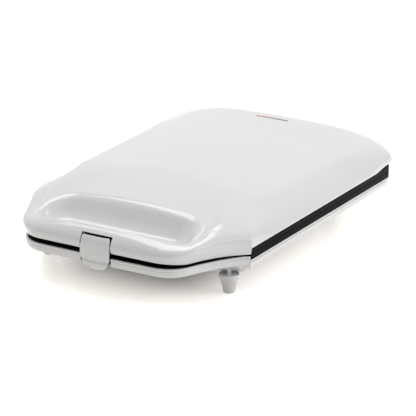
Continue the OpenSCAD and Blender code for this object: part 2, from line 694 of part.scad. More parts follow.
module base_shell() {
    color("white") difference() {
        union() {
            base_tray();
            intersection() {
                each_post() translate([0, 0, belly_h]) cylinder(r = head_r + 1.6, h = base_post_hi - belly_h);
                lofted(upside(base_out()));
            }
        }
        each_post() {
            translate([0, 0, belly_h - 1]) cylinder(r = head_r + 0.3, h = base_post_lo - belly_h + 1);
            translate([0, 0, belly_h]) cylinder(r = screw_r + 0.15, h = 30);
        }
        translate([gland_x, y_back - 20, gland_z]) rotate([-90, 0, 0]) cylinder(r = gland_r + pin_fit, h = 40);
        translate([-notch_half, y_front - 5, rim_h - 12]) cube([2 * notch_half, 5 + 5, 20]);
    }
}
module base_tray() {
    out = upside(base_out());
    inn = upside(base_in());
    n = len(out[0]);
    m = len(out);
    all = concat(out, upside(inn));
    k = len(all);
    outside = ring_faces(n, m);
    inside = [for (f = ring_faces(n, k - m)) [for (v = f) v + m * n]];
    edge = [for (i = [0:n - 1], s = [0, 1])
        let (a = (m - 1) * n + i, b = (m - 1) * n + (i + 1) % n, c = m * n + i, d = m * n + (i + 1) % n)
        s == 0 ? [a, d, b] : [a, c, d]];
    polyhedron([for (r = all) each r],
               concat(outside, inside, edge, cap_faces(n, 0, false), cap_faces(n, (k - 1) * n, true)),
               convexity = 8);
}

module lower_frame() {
    color("#242424") difference() {
        union() {
            translate([0, 0, frame_top_lo]) mirror([0, 0, 1]) ring_frame();
            // deck that closes the nose of the base from above, and a rib under it that backs the latch
            translate([0, 0, lower_deck_lo]) linear_extrude(deck_t) nose_shape(deck_in);
            translate([-notch_half - 2, notch_deck_y + 3.5, rim_h - 8]) cube([2 * notch_half + 4, 2, 7]);
            translate([-half_w + 4, y_body + shell_t, frame_top_lo - ring_t])
                cube([body_w - 8, 3, ring_t / 2]);
            for (s = [-1, 1], k = [-1, 1])
                knuckle(s * hinge_x + k * (knuckle_w + slip), frame_top_lo - ring_t, frame_top_lo);
        }
        hinge_bore(pin_fit);
        translate([-notch_half, y_front, lower_deck_lo - 1]) cube([2 * notch_half, notch_deck, deck_t + 2]);
    }
}

module hinge_pin(s) {
    half = 1.5 * knuckle_w + slip;
    color("silver") translate([s * hinge_x - half, hinge_y, parting_h]) rotate([0, 90, 0])
        cylinder(r = hinge_pin_d / 2, h = 2 * half);
}
module hinge_pin_left() { hinge_pin(-1); }
module hinge_pin_right() { hinge_pin(1); }

pad_h = 1.2;
pad_r = 4;
front_foot_y = y_body - 1.6;
rear_foot_y = y_back - 34;
module foot(x, y) {
    color("white") translate([x, y, 0]) difference() {
        union() {
            translate([0, 0, 0.6]) cylinder(d1 = foot_tip_d, d2 = foot_collar_d - 3, h = belly_h - 3 - 0.6);
            translate([0, 0, belly_h - 3]) cylinder(d = foot_collar_d, h = 3);
        }
        translate([0, 0, -1]) cylinder(r = pad_r, h = pad_h + 1);
    }
}
module front_foot_left() { foot(-front_foot_x, front_foot_y); }
module front_foot_right() { foot(front_foot_x, front_foot_y); }
module rear_foot_left() { foot(-rear_foot_x, rear_foot_y); }
module rear_foot_right() { foot(rear_foot_x, rear_foot_y); }
module foot_pads() {
    color("#3a3a3a") for (s = [-1, 1]) {
        translate([s * front_foot_x, front_foot_y, 0]) cylinder(r = pad_r, h = pad_h);
        translate([s * rear_foot_x, rear_foot_y, 0]) cylinder(r = pad_r, h = pad_h);
    }
}
module base_screws() {
    color("silver") each_post() {
        translate([0, 0, base_post_lo - 2]) cylinder(r = head_r, h = 2);
        translate([0, 0, base_post_lo - eps]) cylinder(r = screw_r, h = frame_top_lo - 1 - base_post_lo);
    }
}
module lid_screws() {
    color("silver") each_post() {
        translate([0, 0, frame_bot_hi + 0.1]) cylinder(r = head_r, h = 1.9);
        translate([0, 0, frame_bot_hi + 1]) cylinder(r = pilot_r, h = ring_t + 4);
    }
}
// Terminal block: three ways, hung from the ring behind the tray
block_way = 10;
block_size = [3 * block_way, 8, 8];
block_bore = 1.6;
block_gap = 8;
module terminal_block() {
    color("#e8e4da")
        translate([-block_size.x / 2, y_back - block_gap - block_size.y - 1, frame_top_lo - ring_t - block_size.z])
            difference() {
                cube(block_size - [0, 0, 0.02]);
                for (i = [0:2]) translate([(i + 0.5) * block_way, -1, block_size.z / 2]) rotate([-90, 0, 0])
                    cylinder(r = block_bore, h = block_size.y + 2);
            }
}
module cord_gland() {
    color("#2a2a2a") translate([gland_x, y_back, gland_z]) rotate([-90, 0, 0]) difference() {
        union() {
            translate([0, 0, -shell_t - 3]) cylinder(r = gland_r, h = shell_t + 3 + 7);
            translate([0, 0, 0]) cylinder(r = gland_r + 0.8, h = 2);
        }
        translate([0, 0, -shell_t - 4]) cylinder(r = 2.9, h = 40);
    }
}

// ---------- indicators ----------

holder_h = 8;
holder_l = 10;
lens_foot = 1.1;
lug_w = 4;
lug_top = crown_z(lens_l + 2 + lug_w, lens_y + holder_l / 2) - shell_t - 2 * slip;
module lens(s) {
    x0 = s > 0 ? slip / 4 : -lens_l;
    translate([x0, lens_y, lens_seat - lens_foot]) {
        translate([0, -lens_w / 2, 0]) cube([lens_l - slip / 4, lens_w, lens_top - lens_seat + lens_foot]);
        translate([0, -lens_w / 2 - 1.5, 0]) cube([lens_l - slip / 4, lens_w + 3, 1]);
    }
}
module power_lens() { color("#e0894f") lens(-1); }
module ready_lens() { color("#3f9c86") lens(1); }
module lamp_holder() {
    w = 2 * lens_l + 4;
    seat = lens_seat - lens_foot;
    color("#efeae0") translate([0, lens_y, seat]) difference() {
        union() {
            translate([-w / 2, -holder_l / 2, -holder_h]) cube([w, holder_l, holder_h]);
            for (s = [-1, 1]) translate([s * (w + lug_w) / 2 - lug_w / 2, -holder_l / 2, -holder_h])
                cube([lug_w, holder_l, holder_h + lug_top - seat]);
        }
        for (s = [-1, 1]) translate([s * lens_l / 2 - 8, -3, -6]) cube([16, 6, 7]);
    }
}
lamp_r = 2.6;
module lamp(s) {
    color("#f2b27a") translate([s * lens_l / 2 - 7.5, lens_y, lens_seat - lens_foot - 6 + lamp_r])
        rotate([0, 90, 0]) cylinder(r = lamp_r, h = 15);
}
module power_lamp() { lamp(-1); }
module ready_lamp() { lamp(1); }

// ---------- latch ----------

hook_top = lower_deck_lo - 0.5;
module latch_pin() {
    color("silver") translate([-ear_x - ear_t / 2, latch_y, latch_z]) rotate([0, 90, 0])
        cylinder(r = latch_pin_d / 2, h = 2 * ear_x + ear_t);
}
// Side view of the latch: outward distance from the nose front, height
module latch_profile() {
    o = latch_top_h;
    t = latch_t;
    face = [[-1.8, o], [-0.6, o - 2], [0.5, o - 5.5], [1.5, o - 11], [2, o - 17], [1.7, o - 22.6], [1, o - 25],
            [1, o - 28.5], [0, o - 31.6], [-1.8, o - 34.4]];
    back = [[-3.4, o - 33.4], [-1.8, o - 30.6], [1 - t, o - 27.6], [1.4 - t, o - 23], [1.8 - t, o - 17],
            [1.3 - t, o - 11], [0.4 - t, o - 6], [-0.6 - t, o - 2.4], [-1.6 - t, o - 1]];
    polygon([for (p = concat(face, back)) [y_front - p.x, p.y]]);
}
module latch() {
    color("white") difference() {
        union() {
            translate([-latch_w / 2, 0, 0]) rotate([90, 0, 90]) linear_extrude(latch_w) latch_profile();
            translate([-eye_half, latch_y, latch_z]) rotate([0, 90, 0]) cylinder(r = 3.2, h = 2 * eye_half);
            // hook that passes under the edge of the lower deck
            translate([-eye_half, 0, 0]) rotate([90, 0, 90]) linear_extrude(2 * eye_half)
                polygon([for (p = [[0, hook_top - 3], [-2.4, hook_top - 1.4], [-2.4, hook_top], [0, hook_top]])
                    [y_front - p.x, p.y]]);
        }
        translate([-latch_w, latch_y, latch_z]) rotate([0, 90, 0])
            cylinder(r = latch_pin_d / 2 + run_fit, h = 2 * latch_w);
        // hollows in which the ears of the lid stand
        for (s = [-1, 1]) translate([s * ear_x - ear_t / 2 - slip, latch_y, latch_z]) rotate([0, 90, 0])
            cylinder(r = ear_r + slip, h = ear_t + 2 * slip);
    }
}

base_shell();
lower_frame();
lower_plate();
lower_heater();
lower_heater_clamps();
lower_reflector();
lower_thermostat();
thermal_fuse();
terminal_block();
cord_gland();
front_foot_left();
front_foot_right();
rear_foot_left();
rear_foot_right();
foot_pads();
base_screws();
lower_plate_screws();
hinge_pin_left();
hinge_pin_right();
lid_cover();
upper_frame();
upper_plate();
upper_heater();
upper_heater_clamps();
upper_reflector();
upper_thermostat();
lamp_holder();
power_lamp();
ready_lamp();
power_lens();
ready_lens();
lid_screws();
upper_plate_screws();
latch_pin();
latch();
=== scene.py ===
# A white clam-shell sandwich toaster, closed, on a pale table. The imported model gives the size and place
# of every piece. Sizes here are in millimetres and turn into metres when a mesh is made.

import math

import bpy
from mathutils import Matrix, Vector


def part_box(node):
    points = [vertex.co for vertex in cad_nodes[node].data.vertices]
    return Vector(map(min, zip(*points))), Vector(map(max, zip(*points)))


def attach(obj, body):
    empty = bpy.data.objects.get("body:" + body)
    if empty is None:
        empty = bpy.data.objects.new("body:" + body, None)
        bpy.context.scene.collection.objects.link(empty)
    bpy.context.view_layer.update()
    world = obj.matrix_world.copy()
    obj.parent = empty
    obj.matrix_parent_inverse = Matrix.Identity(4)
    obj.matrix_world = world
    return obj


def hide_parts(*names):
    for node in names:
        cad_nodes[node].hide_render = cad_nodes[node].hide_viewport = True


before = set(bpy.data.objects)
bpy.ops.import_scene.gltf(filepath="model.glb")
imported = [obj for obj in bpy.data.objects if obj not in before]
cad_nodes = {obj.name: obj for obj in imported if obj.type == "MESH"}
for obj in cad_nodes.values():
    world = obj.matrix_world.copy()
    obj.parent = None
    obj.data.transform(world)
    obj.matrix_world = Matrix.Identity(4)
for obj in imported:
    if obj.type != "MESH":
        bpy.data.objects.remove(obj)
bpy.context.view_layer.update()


# ---- camera ----
# A long lens stands a little to the right of the nose and looks down on the lid. Its place comes from the
# vanishing lines of the side band and of the rim round the nose.

view_turn = math.radians(31.01)
view_pitch = math.radians(19.6)
camera_data = bpy.data.cameras.new("camera")
camera_data.sensor_width = 36
camera_data.lens = 232.86
camera = bpy.data.objects.new("camera", camera_data)
camera.location = (1.37391, -2.26618, 0.97608)
camera.rotation_euler = (math.pi / 2 - view_pitch, 0, view_turn)
bpy.context.scene.collection.objects.link(camera)
bpy.context.scene.camera = camera


# ---- base shell ----
# The lower half of the casing, an injection moulding in glossy white ABS about 2.5 mm thick. A thin bead and
# a fine groove run right round under its rim, and the nose slopes up from a flat belly. The lid shares its
# plan: a long body with straight sides, and a handle nose that leaves it in a hollow curve on each side.


def millimetres(point):
    return [round(1000 * c, 3) for c in point]


base_low, base_high = (millimetres(c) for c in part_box("base_shell"))
plate_low = millimetres(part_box("lower_plate")[0])
plate_margin = 13
parting_rise = 2.6

half_width = base_high[0]
nose_front = base_low[1]
base_back = base_high[1]
body_front = plate_low[1] - plate_margin
rim_height = base_high[2]
belly_height = base_low[2]
parting_height = rim_height + parting_rise
band_half = 6.6
band_top = parting_height + band_half
band_bottom = parting_height - band_half
wall = 2.5

nose_half = 66
nose_radius = 34
nose_turn = 68
edge_bow = 0.6


def blend_step(a, b, x):
    """0 before a, 1 after b, and a smooth step between them."""
    t = max(0, min(1, (x - a) / (b - a)))
    return t * t * (3 - 2 * t)


def arc(x, y, radius, start, end, steps):
    """Points on an arc round (x, y), its angles in degrees."""
    turns = [math.radians(start + (end - start) * i / steps) for i in range(steps + 1)]
    return [(x + radius * math.cos(a), y + radius * math.sin(a)) for a in turns]


def straight(a, b, steps):
    """Points on the line from a to b, without a itself."""
    return [tuple(p + (q - p) * i / steps for p, q in zip(a, b)) for i in range(1, steps + 1)]


def bowed(x, y, bow, steps):
    """Points from the middle of a front or back edge out to x, without the last one."""
    return [(x * i / steps, y + bow * (i / steps) ** 2) for i in range(steps)]


def hollow(a, b, turn, steps):
    """One arc from a, which it leaves at the angle turn, to b. Its last two points are a hair apart."""
    chord = math.dist(a, b)
    half = math.radians(turn) - math.atan2(b[1] - a[1], b[0] - a[0])
    if abs(half) < 0.004:
        return straight(a, b, steps)
    radius = chord / 2 / math.sin(half)
    cx = a[0] + radius * math.sin(math.radians(turn))
    cy = a[1] - radius * math.cos(math.radians(turn))
    shares = [0.992 * i / (steps - 1) for i in range(1, steps)] + [1]
    turns = [math.radians(turn + 90) - 2 * half * s for s in shares]
    return [(cx + radius * math.cos(t), cy + radius * math.sin(t)) for t in turns]


def whole(half):
    """A loop from its right half, which runs from the front middle to the back middle."""
    return half + [(-x, y) for x, y in reversed(half[1:-1])]


EDGE, CORNER, HOLLOW, SIDE, BACK_CORNER, BACK = 10, 18, 20, 36, 14, 14


def casing_loop(half, front, shoulder, back, front_half, front_radius, back_radius):
    """Plan of a shell: nose front, nose corner, hollow, straight side, back corner and back."""
    corner = arc(front_half, front + edge_bow + front_radius, front_radius, -90, nose_turn - 90, CORNER)
    side_end = back - edge_bow - back_radius
    return whole(
        bowed(front_half, front, edge_bow, EDGE)
        + corner
        + hollow(corner[-1], (half, shoulder), nose_turn, HOLLOW)
        + straight((half, shoulder), (half, side_end), SIDE)
        + arc(half - back_radius, side_end, back_radius, 0, 90, BACK_CORNER)[1:]
        + bowed(half - back_radius, back, -edge_bow, BACK)[::-1]
    )


def skin(name, rings):
    """A skin through rings of points: a grid rolled into a tube. A ring drawn to one point shuts its end."""
    bpy.ops.object.select_all(action="DESELECT")
    around = len(rings[0])
    bpy.ops.mesh.primitive_grid_add(x_subdivisions=around, y_subdivisions=len(rings) - 1)
    piece = bpy.context.object
    piece.name = name
    piece.data.name = name
    for row, ring in enumerate(rings):
        for column in range(around + 1):
            vertex = piece.data.vertices[row * (around + 1) + column]
            vertex.co = Vector(ring[column % around]) / 1000
    bpy.ops.object.mode_set(mode="EDIT")
    bpy.ops.mesh.select_all(action="SELECT")
    bpy.ops.mesh.remove_doubles(threshold=2e-6)
    bpy.ops.mesh.normals_make_consistent(inside=False)
    bpy.ops.object.mode_set(mode="OBJECT")
    return piece


def cut(piece, cutter, how="DIFFERENCE"):
    """Takes the cutter's shape out of the piece, or joins it on, and the cutter away."""
    bpy.ops.object.select_all(action="DESELECT")
    bpy.context.view_layer.objects.active = piece
    piece.select_set(True)
    tool = piece.modifiers.new("cut", "BOOLEAN")
    tool.object = cutter
    tool.operation = how
    tool.solver = "EXACT"
    bpy.ops.object.modifier_apply(modifier="cut")
    bpy.data.objects.remove(cutter)


def rod(name, radius, start, end, sides=32):
    """A round bar between two points, to bore with or to join on."""
    bpy.ops.object.select_all(action="DESELECT")
    run = Vector(end) - Vector(start)
    bpy.ops.mesh.primitive_cylinder_add(
        vertices=sides,
        radius=radius / 1000,
        depth=run.length / 1000,
        location=(Vector(start) + run / 2) / 1000,
        rotation=run.to_track_quat("Z", "Y").to_euler(),
    )
    piece = bpy.context.object
    piece.name = name
    piece.data.name = name
    bpy.ops.object.transform_apply(location=True, rotation=True, scale=True)
    return piece


def smooth(piece, angle=32):
    bpy.ops.object.select_all(action="DESELECT")
    bpy.context.view_layer.objects.active = piece
    piece.select_set(True)
    bpy.ops.object.shade_smooth_by_angle(angle=math.radians(angle))


def block(name, low, high, rounding=0):
    """A box between two corners, its edges rounded if asked."""
    bpy.ops.object.select_all(action="DESELECT")
    middle = [(a + b) / 2000 for a, b in zip(low, high)]
    bpy.ops.mesh.primitive_cube_add(size=1, location=middle)
    piece = bpy.context.object
    piece.name = name
    piece.data.name = name
    piece.scale = [(b - a) / 1000 for a, b in zip(low, high)]
    bpy.ops.object.transform_apply(location=True, rotation=False, scale=True)
    if rounding:
        round_edges(piece, rounding)
    return piece


def round_edges(piece, width, segments=3, angle=40):
    """Rounds every edge that is sharper than the angle."""
    bpy.ops.object.select_all(action="DESELECT")
    bpy.context.view_layer.objects.active = piece
    piece.select_set(True)
    tool = piece.modifiers.new("round", "BEVEL")
    tool.width = width / 1000
    tool.segments = segments
    tool.limit_method = "ANGLE"
    tool.angle_limit = math.radians(angle)
    tool.use_clamp_overlap = True
    bpy.ops.object.modifier_apply(modifier="round")


# White ABS moulded against a polished tool: it gives the eye long clean reflections that swim a little
# over the large flat faces, about 18 mm from swell to swell, and no grain. Its tone drifts over 110 mm.


def colour(code):
    """An sRGB hex value as the linear colour that a shader takes."""
    parts = [int(code[i : i + 2], 16) / 255 for i in (1, 3, 5)]
    return [p / 12.92 if p <= 0.04045 else ((p + 0.055) / 1.055) ** 2.4 for p in parts] + [1]


def add_node(material, kind, settings=None, links=None):
    """Adds a node with its settings, and links its inputs to other nodes' outputs."""
    node = material.node_tree.nodes.new("ShaderNode" + kind)
    for key, value in (settings or {}).items():
        if isinstance(key, int) or key in node.inputs:
            node.inputs[key].default_value = value
        else:
            setattr(node, key, value)
    for key, source in (links or {}).items():
        material.node_tree.links.new(source, node.inputs[key])
    return node


def new_finish(name):
    """An empty material with its shader and the object's own coordinates."""
    material = bpy.data.materials.new(name)
    material.use_nodes = True
    shader = material.node_tree.nodes["Principled BSDF"]
    place = add_node(material, "TexCoord").outputs["Object"]
    return material, shader, place


def paint(piece, material):
    piece.data.materials.clear()
    piece.data.materials.append(material)


white_abs, white_shader, white_place = new_finish("glossy_white_abs")
white_shader.inputs["Roughness"].default_value = 0.14
white_shader.inputs["IOR"].default_value = 1.54
white_tone = add_node(white_abs, "TexNoise", {"Scale": 9, "Detail": 2}, {"Vector": white_place})
white_mix = add_node(
    white_abs,
    "Mix",
    {"data_type": "RGBA", 6: colour("#E9E9EA"), 7: colour("#E4E4E6")},
    {0: white_tone.outputs["Fac"]},
)
white_abs.node_tree.links.new(white_mix.outputs[2], white_shader.inputs["Base Color"])
white_swim = add_node(white_abs, "TexNoise", {"Scale": 55, "Detail": 1}, {"Vector": white_place})
white_bump = add_node(
    white_abs,
    "Bump",
    {"Strength": 0.05, "Distance": 0.001},
    {"Height": white_swim.outputs["Fac"]},
)
white_abs.node_tree.links.new(white_bump.outputs["Normal"], white_shader.inputs["Normal"])

# each row: set-ins at the sides, the nose and the back, and the drop below the rim
base_wall = [
    (0.5, 0.5, 0.5, 0),
    (0.15, 0.15, 0.15, 0.15),
    (0, 0, 0, 0.5),
    (0, 0, 0, 1.4),
    (0.2, 0.2, 0.2, 1.7),
    (1.4, 0.7, 1.4, 1.9),
    (1.4, 0.7, 1.4, 2.8),
    (0.5, 0.4, 0.5, 3),
    (0.3, 0.3, 0.3, 3.4),
    (0.6, 0.7, 0.6, 6),
    (0.9, 1.1, 0.9, 8),
    (1.5, 2.2, 1.5, 9.1),
    (2.6, 4.4, 2.6, 10),
]
# each row: set-ins at the sides, the nose and the back, and the height above the table
base_belly = [
    (5, 11, 5, belly_height + 9),
    (8.5, 21, 8.5, belly_height + 5.4),
    (11.5, 32, 11.5, belly_height + 2.6),
    (14, 42, 14, belly_height + 0.8),
    (17, 50, 17, belly_height),
    (60, 90, 60, belly_height),
]


def base_loop(sides, nose, back):
    return casing_loop(
        half_width - sides,
        nose_front + nose,
        body_front + sides / 2,
        base_back - back,
        nose_half,
        max(nose_radius - nose, 6),
        8 + sides / 2,
    )


def base_rim(y):
    """The rim is lower along the sides, under the black band."""
    return rim_height if y < body_front - 0.1 else band_bottom


def base_row(sides, nose, back, drop):
    return [(x, y, base_rim(y) - drop) for x, y in base_loop(sides, nose, back)]


def belly_row(sides, nose, back, height, inside=0):
    loop = base_loop(sides + inside, nose + inside, back + inside)
    return [(x, y, height + inside) for x, y in loop]


def pole(ring, height):
    """A ring drawn to one point in the middle of the belly or of the well floor."""
    middle = sum(p[1] for p in ring) / len(ring)
    return [(0, middle, height)] * len(ring)


base_under = [belly_row(*row) for row in base_belly]
base_inside = [belly_row(*row, inside=wall) for row in base_belly[1:]]
base_inner_wall = [base_row(wall, wall, wall, 0), base_row(wall + 0.9, wall + 1, wall + 0.9, 7)]
base_shell = skin(
    "base_casing",
    [pole(base_under[-1], belly_height)]
    + base_under[::-1]
    + [base_row(*row) for row in base_wall[::-1]]
    + base_inner_wall
    + base_inside
    + [pole(base_inside[-1], belly_height + wall)],
)

# the notch in the rim that the latch closes over
latch_high = millimetres(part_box("latch")[1])
latch_side_gap = 0.6
notch_reach = 5
notch_drop = 12
notch_half = latch_high[0] + latch_side_gap
cut(
    base_shell,
    block(
        "base_notch",
        (-notch_half, nose_front - notch_reach, rim_height - notch_drop),
        (notch_half, nose_front + notch_reach, rim_height + 8),
    ),
)

# bores for the six screws from below, a little wider than their heads
screw_head_radius = 2.7
screw_bore_radius = 3
screw_bore_top = 34.5
screw_inset = 34
screw_x = millimetres(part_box("base_screws")[1])[0] - screw_head_radius
for screw_y in (body_front + screw_inset, (body_front + base_back) / 2, base_back - screw_inset):
    for side in (-1, 1):
        bore_foot = (side * screw_x, screw_y, belly_height - 4)
        bore_top = (side * screw_x, screw_y, screw_bore_top)
        cut(base_shell, rod("screw_bore", screw_bore_radius, bore_foot, bore_top))

# the hole in the back wall that holds the cord gland
gland_low, gland_high = (millimetres(c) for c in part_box("cord_gland"))
gland_z = (gland_low[2] + gland_high[2]) / 2
gland_radius = 3.7
gland_inner = (0, base_back - 12, gland_z)
gland_outer = (0, base_back + 8, gland_z)
cut(base_shell, rod("gland_bore", gland_radius, gland_inner, gland_outer))
smooth(base_shell)
paint(base_shell, white_abs)
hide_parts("base_shell")
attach(base_shell, "base")


# ---- lid ----
# The upper half, moulded in the same ABS: a low crown, a sloping wall on three sides and a nose that falls
# away in front of an arched crease. Behind the bar of the nose a well takes four fingers. Its back edge is a
# wide soft fillet.

lid_high = millimetres(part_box("lid_cover")[1])
lid_half = lid_high[0]
lid_back = lid_high[1]
crown_top = lid_high[2] + 0.03
side_run, side_rise = 20, 25.5
back_run, back_rise = 12, 32
bar_run, bar_rise = 13, 19.5
arch_radius = 105
lip = 1.2
skirt_over_band = 0.8
shoulder_round = 9
shoulder_run = 16

well_half = 92
well_front = nose_front + 13
well_back = body_front - 2
well_floor = 51.5
well_front_radius = 21
well_back_radius = 28
well_middle = (well_front + well_back) / 2
well_half_length = (well_back - well_front) / 2
well_rim = 0.8


def soft_min(a, b, k):
    """The lower of two heights, rounded where they cross."""
    h = max(k - abs(a - b), 0) / k
    return min(a, b) - h * h * k / 4


def crown(x, y):
    """Height of the crown, with the nose falling away in front of the arched crease."""
    ahead = body_front - 34 + math.sqrt(max(arch_radius**2 - x * x, 400)) - y
    fall = 0.13 * (ahead + math.sqrt(ahead**2 + 80)) / 2
    ends = 9.3 * min((x / 85) ** 2, 1.2) * max(0, min(1, (body_front + 60 - y) / 100))
    roll = max(y - (base_back - 29), 0) ** 2 / 190
    corner = 2.5 * (x / 115) ** 4 * blend_step(base_back - 110, base_back - 5, y)
    return crown_top - 6 * (x / 105) ** 2 - 3 * (x / 115) ** 6 - fall - ends - roll - corner


def wall_height(y, share):
    """Height of the outer wall at a share of its way up: sloping sides and back, steeper bar front."""
    low = band_top + lip
    bulge = share * (1.4 - 0.4 * share)
    side = low + (side_rise - lip) * bulge
    bar = low + (bar_rise - lip) * share
    back = low + (back_rise - lip) * bulge
    to_side = blend_step(body_front - 55, body_front, y)
    to_back = blend_step(base_back - 31, base_back + 4, y)
    return (bar * (1 - to_side) + side * to_side) * (1 - to_back) + back * to_back


def skirt(y):
    """Lower edge of the lid: it clears the rim round the nose and hangs a little over the band."""
    if y < body_front - 0.1:
        first = 2.5 * blend_step(body_front - 82, body_front - 56, y)
        return rim_height + 5.3 - first - 0.8 * blend_step(body_front - 42, body_front, y)
    return band_top - skirt_over_band


def lid_loop(share, inset):
    """Plan of the lid's wall at a share of its way up. The nose and the back stay upright for longer."""
    late = share**2.4
    loop = casing_loop(
        lid_half - side_run * share - inset,
        nose_front + bar_run * share**1.7 + inset,
        body_front + 22 * share**1.8,
        lid_back + 0.8 - back_run * share**1.8 - inset,
        nose_half + 3 * late,
        nose_radius - 11 * late - inset,
        16 + 7 * share,
    )
    upright = side_run * (share - share**2.2) / lid_half
    wider = []
    for x, y in loop:
        at_nose = 1 - blend_step(body_front - 10, body_front + 70, y)
        at_back = 0.7 * blend_step(base_back - 110, base_back - 10, y)
        wider.append((x * (1 + upright * (at_nose + at_back)), y))
    return wider


def past_well(x, y):
    """How far a point lies past the corner centre of the well that is nearest to it, and that radius."""
    radius = well_front_radius if y < well_middle else well_back_radius
    return abs(x) - well_half + radius, abs(y - well_middle) - well_half_length + radius, radius


def gap_to_well(x, y):
    u, v, radius = past_well(x, y)
    return math.hypot(max(u, 0), max(v, 0)) + min(max(u, v), 0) - radius


def off_well(x, y, gap):
    """The point moved out until it is that far from the well."""
    u, v, radius = past_well(x, y)
    if gap_to_well(x, y) >= gap:
        return x, y
    right = -1 if x < 0 else 1
    behind = -1 if y < well_middle else 1
    if u > 0 and v > 0:
        stretch = (radius + gap) / math.hypot(u, v)
        corner_x = right * (well_half - radius)
        corner_y = well_middle + behind * (well_half_length - radius)
        return corner_x + right * u * stretch, corner_y + behind * v * stretch
    if v >= u:
        return x, well_middle + behind * (well_half_length + gap)
    return right * (well_half + gap), y


def well_loop(bar, ends, back):
    """Outline of the well, set in at the bar, the ends and the back."""
    x = well_half - ends
    front = well_front + bar
    rear = well_back - back
    front_radius = max(well_front_radius - ends, 5)
    back_radius = max(min(well_back_radius - ends / 2, 0.6 * (rear - front)), 8)
    end = rear - edge_bow - back_radius
    return whole(
        bowed(x - front_radius, front, edge_bow, EDGE)
        + arc(x - front_radius, front + edge_bow + front_radius, front_radius, -90, 0, CORNER)
        + straight((x, front + edge_bow + front_radius), (x, end), HOLLOW)
        + arc(x - back_radius, end, back_radius, 0, 90, SIDE + BACK_CORNER)[1:]
        + bowed(x - back_radius, rear, -edge_bow, BACK)[::-1]
    )


def wall_ring(share, thick=0):
    """A ring of the outer wall, or of the inner one if it has a thickness."""
    foot = lid_loop(0, thick)
    ring = []
    for (x, y), (foot_x, foot_y) in zip(lid_loop(share, thick), foot):
        spare = max(gap_to_well(foot_x, foot_y) - thick - well_rim, 0)
        x, y = off_well(x, y, thick + well_rim + spare * (1 - share) * 0.85)
        height = soft_min(wall_height(y, share), crown(x, y), shoulder_round)
        if thick:
            solid = 1 - blend_step(body_front - 50, body_front - 25, y)
            height -= thick * share + 9 * solid * share**2
        ring.append((x, y, height))
    return ring


def crown_ring(shoulder, way, thick=0):
    """A ring on the way from the shoulder to the rim of the well."""
    ring = []
    for (x0, y0, z0), (x1, y1) in zip(shoulder, well_loop(-thick, -thick, -thick)):
        x = x0 + (x1 - x0) * way
        y = y0 + (y1 - y0) * way
        drop = crown(x0, y0) - thick - z0
        fade = max(0, 1 - math.hypot(x - x0, y - y0) / shoulder_run) ** 2
        ring.append((x, y, crown(x, y) - thick - drop * fade))
    return ring


def well_ring(row, rim, thick=0):
    """A ring down the wall of the well: set-ins at bar, ends and back, and the share of the height."""
    bar, ends, back, height = row
    floor = well_floor - thick
    loop = well_loop(bar - thick, ends - thick, back - thick)
    return [(x, y, floor + (z - floor) * height) for (x, y), (_, _, z) in zip(loop, rim)]


def through(rows, steps):
    """A smooth curve through rows of numbers, with that many steps between each two."""
    curve = []
    for i in range(len(rows) - 1):
        before, a, b, after = rows[max(i - 1, 0)], rows[i], rows[i + 1], rows[min(i + 2, len(rows) - 1)]
        for k in range(steps):
            t = k / steps
            curve.append(
                tuple(
                    q + 0.5 * t * ((r - p) + t * (2 * p - 5 * q + 4 * r - s + t * (3 * (q - r) + s - p)))
                    for p, q, r, s in zip(before, a, b, after)
                )
            )
    return curve + [rows[-1]]


well_rows = [
    (0, 0, 0, 1),
    (0.3, 0.8, 2.5, 0.985),
    (1, 2.6, 6.5, 0.93),
    (1.7, 4.8, 10.8, 0.8),
    (2.3, 6.8, 14.6, 0.58),
    (2.9, 8.8, 18.6, 0.33),
    (3.8, 11.6, 23.6, 0.12),
    (5.2, 15, 29, 0.025),
    (8, 20, 35, 0),
]


def tucked(ring):
    """The ring with its back curled under near the lower edge, and the wall of the nose swelling out."""
    after = ring[1:] + ring[:1]
    out = []
    for before, (x, y, z), later in zip(ring[-1:] + ring[:-1], ring, after):
        pull = 3 * blend_step(base_back - 40, base_back - 4, y) * max(0, 1 - (z - band_top) / 5.5) ** 2
        at_nose = 1 - blend_step(body_front - 25, body_front + 10, y)
        pull -= 0.9 * at_nose * max(0, 1 - ((z - rim_height - 17) / 11) ** 2)
        pull += 1.3 * at_nose * max(0, 1 - (z - rim_height - 5) / 6) ** 2
        along_x, along_y = later[0] - before[0], later[1] - before[1]
        length = math.hypot(along_x, along_y) or 1
        out.append((x - pull * along_y / length, y + pull * along_x / length, z))
    return out


def skirt_ring(inset, lift):
    return tucked([(x, y, skirt(y) + lift) for x, y in lid_loop(0, inset)])


def above_skirt(share):
    """A ring on the upright foot of the wall, between the skirt and the start of the slope."""
    ring = wall_ring(0)
    return tucked([(x, y, (skirt(y) + 0.6) * (1 - share) + z * share) for x, y, z in ring])


def walk(points, distance):
    """The point that far along a run of points, followed by the rest of the run."""
    for i in range(len(points) - 1):
        step = math.dist(points[i], points[i + 1])
        if distance < step:
            t = distance / step
            here = tuple(a + (b - a) * t for a, b in zip(points[i], points[i + 1]))
            return [here] + points[i + 1 :]
        distance -= step
    return points[-1:]


def spread(points, count):
    """The same run drawn with that many points at even distances."""
    total = sum(math.dist(a, b) for a, b in zip(points, points[1:]))
    drawn, left = [points[0]], points
    for _ in range(count - 2):
        left = walk(left, total / (count - 1))
        drawn.append(left[0])
    return drawn + [points[-1]]


# points up the wall, round the shoulder and over the crown, and how far the shoulder's curve reaches
WALL, TURN, CROWN = 14, 16, 40
side_reach = 40
nose_reach = 9


